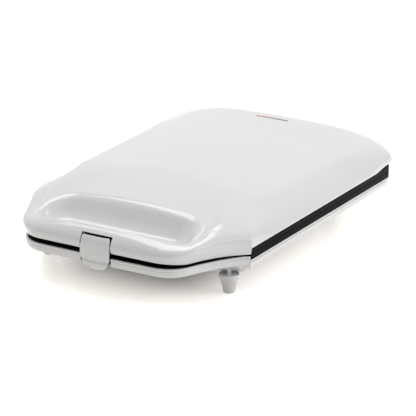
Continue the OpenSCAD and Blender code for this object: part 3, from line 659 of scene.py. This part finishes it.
def rounded_column(side, top):
    """A line up the wall and over the crown whose shoulder is one wide, even curve."""
    wide = nose_reach + (side_reach - nose_reach) * blend_step(body_front - 30, body_front + 60, top[0][1])
    wide -= 8 * blend_step(base_back - 70, base_back - 12, top[0][1])
    reach = min(wide, 0.45 * math.dist(top[0][:2], top[-1][:2]))
    below = walk(side[::-1], 0.6 * reach)[::-1]
    beyond = walk(top, reach)
    lower, upper = spread(below, WALL), spread(beyond, CROWN)
    a, d = Vector(lower[-1]), Vector(upper[0])
    facing_back = abs(d[1] - a[1]) / (math.dist(a[:2], d[:2]) or 1)
    pull = (0.34 + 0.08 * facing_back**2) * (d - a).length
    b = a + (a - Vector(lower[-2])).normalized() * pull
    c = d - (Vector(upper[1]) - d).normalized() * pull
    curve = []
    for i in range(1, TURN):
        t = i / TURN
        curve.append(tuple((1 - t) ** 3 * a + 3 * t * (1 - t) ** 2 * b + 3 * t * t * (1 - t) * c + t**3 * d))
    return lower + curve + upper


wall_steps = 24
crown_steps = 60
inner_steps = 8
shoulder = wall_ring(1)
sides = [tucked(wall_ring(i / wall_steps)) for i in range(wall_steps + 1)]
tops = [shoulder]
tops += [crown_ring(shoulder, (i / crown_steps) ** 1.6) for i in range(1, crown_steps + 1)]
columns = [rounded_column(list(side), list(top)) for side, top in zip(zip(*sides), zip(*tops))]
outer_rings = [skirt_ring(0.6, 0), skirt_ring(0.18, 0.18), skirt_ring(0, 0.6), above_skirt(0.5)]
outer_rings += [list(ring) for ring in zip(*columns)]
outer_rings += [well_ring(row, outer_rings[-1]) for row in through(well_rows, 4)[1:]]
inner_shoulder = wall_ring(0.95, wall)
inner_rings = (
    [skirt_ring(wall, 0.4)]
    + [wall_ring(share, wall) for share in (0, 0.15, 0.3, 0.48, 0.66, 0.82, 0.95)]
    + [crown_ring(inner_shoulder, (i / inner_steps) ** 1.8, wall) for i in range(1, inner_steps + 1)]
)
inner_rings += [well_ring(row, inner_rings[-1], wall) for row in well_rows[2:]]
lid = skin(
    "lid_casing",
    [pole(inner_rings[-1], well_floor - wall)]
    + inner_rings[::-1]
    + [skirt_ring(wall - 0.4, 0)]
    + outer_rings
    + [pole(outer_rings[-1], well_floor)],
)

# the notch in the bar that takes the latch
frame_low, frame_high = (millimetres(c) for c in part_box("upper_frame"))
latch_top_gap = 1.6
notch_depth = 10
notch_top = latch_high[2] + latch_top_gap
cut(
    lid,
    block(
        "lid_notch",
        (-notch_half, nose_front - notch_reach, rim_height),
        (notch_half, nose_front + notch_depth, notch_top),
    ),
)

# the slot for the two indicator lenses
lens_low, lens_high = (millimetres(c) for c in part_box("power_lens"))
lens_middle = (lens_low[1] + lens_high[1]) / 2
lens_gap = 0.15
slot_half = 1.35
cut(
    lid,
    block(
        "lens_slot",
        (lens_low[0] - lens_gap, lens_middle - slot_half, lens_low[2] - 2),
        (lens_gap - lens_low[0], lens_middle + slot_half, lens_high[2] + 5),
    ),
)
smooth(lid)
paint(lid, white_abs)
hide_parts("lid_cover")
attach(lid, "lid")


# ---- latch ----
# A lever moulded in the same white ABS, which hangs on a steel pin in the notch of the nose. Its face bulges
# over the rim and ends, below a fold, in a rounded tab for a fingertip.

latch_half = latch_high[0]
latch_top = latch_high[2] - 0.3
latch_wall = 1.1
# outer face of the lever from the top down: distance in front of the nose, drop from the top, half width
latch_face = [
    (-1.9, 0, latch_half - 1.6),
    (-0.6, 2, latch_half - 0.9),
    (0.5, 5.5, latch_half - 0.6),
    (1.5, 11, latch_half - 0.2),
    (2, 17, latch_half),
    (1.8, 21, latch_half - 0.2),
    (1.3, 22.9, latch_half - 0.9),
    (0.5, 23.9, latch_half - 1.7),
    (0.1, 24.4, latch_half - 2.2),
    (0.8, 25, latch_half - 2.2),
    (1.4, 25.9, latch_half - 2.3),
    (1.6, 28.2, latch_half - 3.3),
    (1.1, 30.2, latch_half - 5),
    (0.4, 31.9, latch_half - 7.7),
    (-0.2, 33.1, latch_half - 10.8),
    (-0.6, 33.8, latch_half - 13.8),
    (-0.8, 34.1, 0.4),
]
latch_corner = 2.2


def latch_ring(here, before, after, end):
    """A slice across the lever: a flat loop with rounded edges, thinner near the ends."""
    out, drop, half = here
    tangent = Vector((before[0] - after[0], after[1] - before[1])).normalized()
    inward = Vector((-tangent[1], tangent[0])) if tangent[1] > 0 else Vector((tangent[1], -tangent[0]))
    thick = latch_wall * math.sqrt(1 - (1 - min(end / latch_wall, 1)) ** 2)
    round_off = min(0.95 * thick, half)
    half -= latch_corner * (1 - math.sqrt(1 - (1 - min(drop / latch_corner, 1)) ** 2))
    loop = []
    for side in (1, -1):
        for k in range(13):
            x = (k / 6 - 1) * (half - round_off) * side
            loop.append((x, side * thick))
        for k in range(1, 6):
            a = math.radians(90 - 180 * k / 6)
            loop.append((side * (half - round_off + round_off * math.cos(a)), side * thick * math.sin(a)))
    points = []
    for x, depth in loop:
        crowned = depth - latch_wall + 0.4 * (1 - (x / latch_half) ** 2)
        y = nose_front - out - crowned * -inward[0]
        z = latch_top - drop + crowned * inward[1]
        points.append((x, y, z))
    return points


rows = spread(latch_face, 60)
lengths = [0]
for a, b in zip(rows, rows[1:]):
    lengths.append(lengths[-1] + math.dist(a[:2], b[:2]))
latch_rings = []
for k, row in enumerate(rows):
    before, after = rows[max(k - 1, 0)], rows[min(k + 1, len(rows) - 1)]
    latch_rings.append(latch_ring(row, before, after, min(lengths[k], lengths[-1] - lengths[k]) + 0.02))
latch = skin("latch_lever", latch_rings)

# the eye that turns on the pin, and the hook that catches under the lower deck
pin_low, pin_high = (millimetres(c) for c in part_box("latch_pin"))
pin_y = (pin_low[1] + pin_high[1]) / 2
pin_z = (pin_low[2] + pin_high[2]) / 2
eye_half = 9
eye_radius = 3.2
pin_bore_radius = 1.7
hook_drop = 2.9
hook_height = 3
hook_reach = 2.4
hook_top = rim_height - hook_drop
cut(latch, rod("eye", eye_radius, (-eye_half, pin_y, pin_z), (eye_half, pin_y, pin_z), 40), "UNION")
hook_low = (-eye_half, nose_front - 0.2, hook_top - hook_height)
hook_high = (eye_half, nose_front + hook_reach, hook_top)
cut(latch, block("hook", hook_low, hook_high, 0.6), "UNION")
pin_left, pin_right = (-latch_half, pin_y, pin_z), (latch_half, pin_y, pin_z)
cut(latch, rod("pin_bore", pin_bore_radius, pin_left, pin_right))
smooth(latch, 40)
paint(latch, white_abs)
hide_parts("latch")
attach(latch, "latch")


# ---- feet ----
# Four white cones with a collar, moulded in the same ABS. Each stands on a pad of rubber, and a post in its
# middle reaches up into the belly.

# radius and height along the cone, over the collar, across the shallow dish and up the post
foot_profile = [
    (0, 0.4),
    (5.2, 0.4),
    (5.7, 0.7),
    (6, 1.4),
    (9.3, 16.2),
    (9.6, 16.9),
    (10.4, 17.3),
    (10.7, 17.8),
    (10.7, 19.4),
    (10.4, 19.9),
    (9.7, 20),
    (9.4, 19.7),
    (8.9, 18.9),
    (2.2, 18.7),
    (2, 24),
    (0, 24),
]


def turned(name, profile, x, y, steps=48):
    """A round piece: the profile (radius, height) spun about an upright axis."""
    rings = [arc(x, y, max(radius, 0.0001), 0, 360 * (steps - 1) / steps, steps - 1) for radius, _ in profile]
    return skin(name, [[(px, py, height) for px, py in ring] for ring, (_, height) in zip(rings, profile)])


for name in ("front_foot_left", "front_foot_right", "rear_foot_left", "rear_foot_right"):
    low, high = (millimetres(c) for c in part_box(name))
    foot = turned(name + "_cone", foot_profile, (low[0] + high[0]) / 2, (low[1] + high[1]) / 2)
    smooth(foot, 30)
    paint(foot, white_abs)
    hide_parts(name)
    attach(foot, "base")


# ---- black frames ----
# Heat-resistant black mouldings that carry the plates. Their edges show as the matt band between the white
# shells, and their decks close the nose above and below the gap.

# Black PBT: it gives the eye a dull, nearly black face with no clear reflection, and a fine grain that is
# drawn at 1.4 mm.
black_pbt, black_shader, black_place = new_finish("matt_black_pbt")
black_shader.inputs["Base Color"].default_value = colour("#141414")
black_shader.inputs["Roughness"].default_value = 0.6
black_shader.inputs["Specular IOR Level"].default_value = 0.05
black_grain = add_node(black_pbt, "TexNoise", {"Scale": 700, "Detail": 2}, {"Vector": black_place})
black_bump = add_node(
    black_pbt,
    "Bump",
    {"Strength": 0.25, "Distance": 0.0003},
    {"Height": black_grain.outputs["Fac"]},
)
black_pbt.node_tree.links.new(black_bump.outputs["Normal"], black_shader.inputs["Normal"])


def softened(node, body, width, material):
    """A copy of a plain CAD piece with its edges rounded as a moulding's are."""
    piece = bpy.data.objects.new(node + "_moulded", cad_nodes[node].data.copy())
    bpy.context.scene.collection.objects.link(piece)
    bpy.ops.object.select_all(action="DESELECT")
    bpy.context.view_layer.objects.active = piece
    piece.select_set(True)
    bpy.ops.object.mode_set(mode="EDIT")
    bpy.ops.mesh.select_all(action="SELECT")
    bpy.ops.mesh.remove_doubles(threshold=2e-6)
    bpy.ops.mesh.dissolve_limited(angle_limit=math.radians(1))
    bpy.ops.object.mode_set(mode="OBJECT")
    round_edges(piece, width, 2, 35)
    smooth(piece, 35)
    paint(piece, material)
    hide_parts(node)
    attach(piece, body)
    return piece


frame_rounding = 0.35
for node, body in (("lower_frame", "base"), ("upper_frame", "lid")):
    softened(node, body, frame_rounding, black_pbt)


# ---- cooking plates ----
# Die-cast aluminium with a dark non-stick coating, eight three-sided pockets in each. A plate lies in its
# black frame, and its edges are rounded as a casting's are.

# Non-stick coating: it gives the eye a soft sheen on dark grey, with a fine speck drawn at about 1 mm.
non_stick, stick_shader, stick_place = new_finish("dark_non_stick_coating")
stick_shader.inputs["Roughness"].default_value = 0.38
stick_speck = add_node(non_stick, "TexNoise", {"Scale": 900, "Detail": 3}, {"Vector": stick_place})
stick_mix = add_node(
    non_stick,
    "Mix",
    {"data_type": "RGBA", 6: colour("#1F1F21"), 7: colour("#323235")},
    {0: stick_speck.outputs["Fac"]},
)
non_stick.node_tree.links.new(stick_mix.outputs[2], stick_shader.inputs["Base Color"])
plate_rounding = 0.9
for node, body in (("lower_plate", "base"), ("upper_plate", "lid")):
    softened(node, body, plate_rounding, non_stick)


# ---- pieces inside ----
# The heating elements, clips, trays, switches, lamps, screws and pins, with the rubber gland and foot pads.
# They keep the shape that the model gives them.


def plain_finish(name, code, roughness, metallic=0.0, specular=0.5):
    """One colour whose gloss drifts a little over about 6 mm."""
    material, shader, place = new_finish(name)
    shader.inputs["Metallic"].default_value = metallic
    shader.inputs["Specular IOR Level"].default_value = specular
    tone = add_node(material, "TexNoise", {"Scale": 160, "Detail": 3}, {"Vector": place})
    mix = add_node(
        material,
        "MapRange",
        {"To Min": roughness - 0.05, "To Max": roughness + 0.08},
        {"Value": tone.outputs["Fac"]},
    )
    shader.inputs["Base Color"].default_value = colour(code)
    material.node_tree.links.new(mix.outputs["Result"], shader.inputs["Roughness"])
    return material


# zinc plating: a cool pale grey with a satin shine
zinc = plain_finish("zinc_plated_steel", "#B9BABD", 0.35, 1.0)
# steel tube darkened by heat: a dull warm grey
tube_steel = plain_finish("heat_darkened_steel", "#6E6862", 0.45, 1.0)
# pressed aluminium sheet: bright, with a soft reflection
tray_sheet = plain_finish("aluminium_sheet", "#C9CACC", 0.32, 1.0)
# steatite: a cream ceramic with hardly any shine
steatite = plain_finish("cream_steatite", "#D9D2C2", 0.6)
# rubber: a flat dark grey
rubber = plain_finish("black_rubber", "#2B2B2B", 0.75)
# lamp tubes: pale amber with sharp highlights, drawn opaque
lamp_glass = plain_finish("lamp_glass", "#F0C8A0", 0.1)
for node in cad_nodes:
    if "screws" in node or "pin" in node or "clamps" in node or node == "thermal_fuse":
        paint(cad_nodes[node], zinc)
    elif node.endswith("heater"):
        paint(cad_nodes[node], tube_steel)
    elif node.endswith("reflector"):
        paint(cad_nodes[node], tray_sheet)
    elif node.endswith("thermostat") or node in ("terminal_block", "lamp_holder"):
        paint(cad_nodes[node], steatite)
    elif node in ("cord_gland", "foot_pads"):
        paint(cad_nodes[node], rubber)
    elif node.endswith("lamp"):
        paint(cad_nodes[node], lamp_glass)


# ---- indicator lenses ----
# Two strips of tinted polycarbonate, orange on the left and teal green on the right, pushed into the slot
# from inside. They give the eye a deep plain colour, with little of the room in it.

orange_lens = plain_finish("orange_polycarbonate", "#C8501A", 0.4, specular=0.15)
green_lens = plain_finish("teal_polycarbonate", "#16694F", 0.4, specular=0.15)
paint(cad_nodes["power_lens"], orange_lens)
paint(cad_nodes["ready_lens"], green_lens)


# ---- table, backdrop and light ----
# A pale table that fades into a white ground, a broad soft light above and to the left, a soft light at the
# right side, a small weak one at each front corner, and a warm room that fills the shadows.


def what_looks(owner):
    """1 where the eye, a reflection or a clear piece looks straight at the ground, and 0 for its light."""
    path = add_node(owner, "LightPath")
    reflected = add_node(
        owner,
        "Math",
        {"operation": "MAXIMUM"},
        {0: path.outputs["Is Glossy Ray"], 1: path.outputs["Is Transmission Ray"]},
    )
    return add_node(
        owner,
        "Math",
        {"operation": "MAXIMUM"},
        {0: path.outputs["Is Camera Ray"], 1: reflected.outputs[0]},
    ).outputs[0]


bpy.ops.object.select_all(action="DESELECT")
bpy.ops.mesh.primitive_plane_add(size=14)
table = bpy.context.object
table.name = "table"
# satin white board that glows more the further it lies from the object
table_white, table_shader, table_place = new_finish("pale_table")
table_shader.inputs["Base Color"].default_value = colour("#F4F3F0")
table_shader.inputs["Roughness"].default_value = 0.3
table_fold = add_node(table_white, "VectorMath", {"operation": "ABSOLUTE"}, {0: table_place})
table_past = add_node(
    table_white, "VectorMath", {"operation": "SUBTRACT", 1: (0.03, 0.1, 0)}, {0: table_fold.outputs[0]}
)
table_out = add_node(
    table_white, "VectorMath", {"operation": "MAXIMUM", 1: (0, 0, 0)}, {0: table_past.outputs[0]}
)
table_reach = add_node(table_white, "VectorMath", {"operation": "LENGTH"}, {0: table_out.outputs[0]})
table_fade = add_node(
    table_white,
    "MapRange",
    {"From Min": 0.02, "From Max": 0.145, "To Min": 0.1, "To Max": 1.0},
    {"Value": table_reach.outputs["Value"]},
)
table_lift = add_node(
    table_white,
    "Math",
    {"operation": "MULTIPLY"},
    {0: table_fade.outputs["Result"], 1: what_looks(table_white)},
)
table_glow = add_node(
    table_white, "Emission", {"Color": (1, 0.965, 0.92, 1)}, {"Strength": table_lift.outputs[0]}
)
table_sum = add_node(
    table_white,
    "AddShader",
    None,
    {0: table_shader.outputs[0], 1: table_glow.outputs[0]},
)
table_white.node_tree.links.new(
    table_sum.outputs[0], table_white.node_tree.nodes["Material Output"].inputs["Surface"]
)
paint(table, table_white)

world = bpy.data.worlds.new("studio")
bpy.context.scene.world = world
world.use_nodes = True
room = world.node_tree.nodes["Background"]
room.inputs["Color"].default_value = (1, 0.97, 0.93, 1)
room.inputs["Strength"].default_value = 0.36
ground = add_node(world, "Background", {"Strength": 1.0, "Color": (1, 1, 1, 1)})
room_mix = add_node(
    world, "MixShader", None, {0: what_looks(world), 1: room.outputs[0], 2: ground.outputs[0]}
)
world.node_tree.links.new(
    room_mix.outputs[0], world.node_tree.nodes["World Output"].inputs["Surface"]
)


def soft_light(name, place, aim, size, power, tint=(1, 1, 1)):
    lamp = bpy.data.lights.new(name, "AREA")
    lamp.shape = "RECTANGLE"
    lamp.size, lamp.size_y = size
    lamp.energy = power
    lamp.color = tint
    light = bpy.data.objects.new(name, lamp)
    light.location = place
    light.rotation_euler = (Vector(aim) - Vector(place)).to_track_quat("-Z", "Y").to_euler()
    bpy.context.scene.collection.objects.link(light)


soft_light("overhead", (-0.5, 0.3, 2.0), (0, 0, 0), (1.5, 1.2), 23.5, (0.95, 0.975, 1))
soft_light("left_front", (-1.6, -1.1, 0.8), (0, -0.1, 0.05), (0.7, 0.7), 1)
soft_light("right_front", (1.5, -1.75, 1.0), (0, -0.1, 0.05), (0.5, 0.5), 1)
soft_light("right_side", (1.9, 0.5, 0.9), (0, 0, 0.05), (1.0, 0.8), 13, (0.97, 0.985, 1))

bpy.context.scene.view_settings.view_transform = "Standard"
